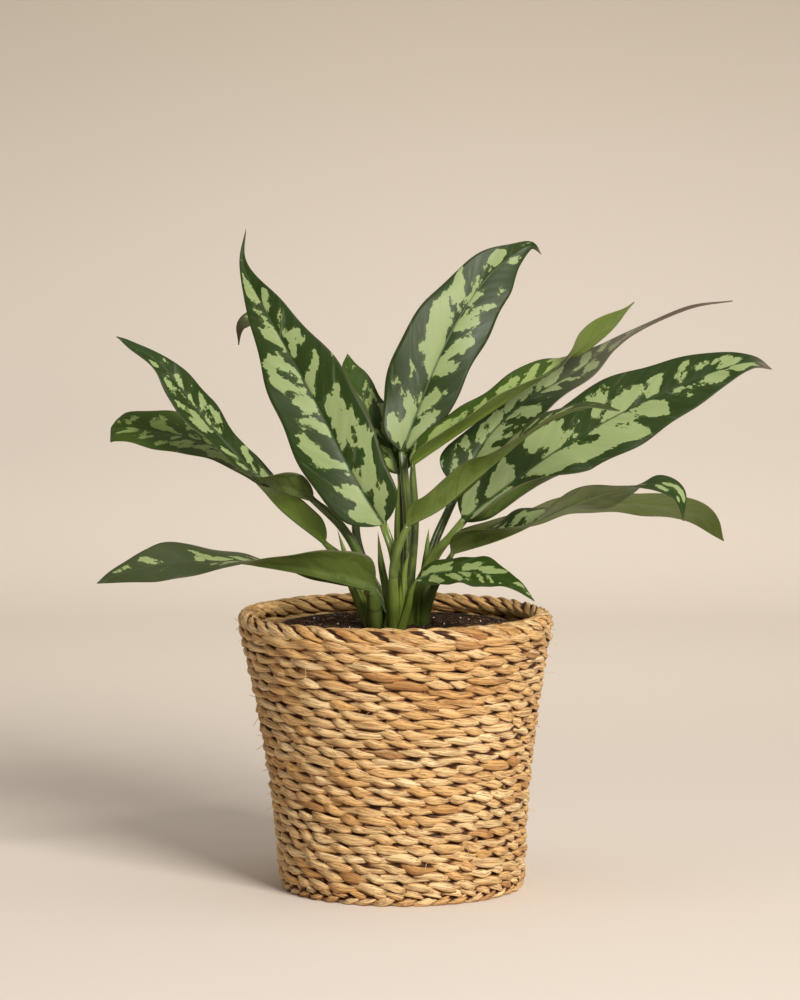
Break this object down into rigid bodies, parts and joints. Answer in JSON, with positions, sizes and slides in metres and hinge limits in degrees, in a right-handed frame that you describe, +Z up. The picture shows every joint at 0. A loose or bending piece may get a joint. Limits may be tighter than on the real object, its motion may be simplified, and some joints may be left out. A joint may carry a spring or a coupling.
{
  "type": "potted maria aglaonema in a woven basket",
  "caption": "Foliage plant with long, feathered, two-tone green leaves on several short shoots, in a thin nursery pot standing in a tapered seagrass basket.",
  "frame": {"origin": "centre of the basket's underside, on the surface it stands on", "axes": "+Z up, +X to the right as the plant is seen from the front, +Y away from the viewer"},
  "size_m": [0.3825, 0.18, 0.377],
  "materials": {
    "seagrass": "dry twined seagrass, matt with a faint straw sheen",
    "pot_plastic": "thin black nursery pot plastic",
    "potting_soil": "moist peaty potting mix with white perlite",
    "stalk": "smooth fleshy stalk, satin",
    "leaf": "waxy leaf, dark green with feathered pale green patches"
  },
  "bodies": {
    "root": {"basket_wall": "seagrass", "basket_rim": "seagrass", "basket_foot": "seagrass", "basket_base": "seagrass", "nursery_pot": "pot_plastic", "soil": "potting_soil", "shoot_a": "stalk", "shoot_b": "stalk", "shoot_c": "stalk", "shoot_d": "stalk", "leaf_01": "leaf", "leaf_02": "leaf", "leaf_03": "leaf", "leaf_04": "leaf", "leaf_05": "leaf", "leaf_06": "leaf", "leaf_07": "leaf", "leaf_08": "leaf", "leaf_09": "leaf", "leaf_10": "leaf", "leaf_11": "leaf", "leaf_12": "leaf", "leaf_13": "leaf", "leaf_14": "leaf"}
  },
  "joints": []
}
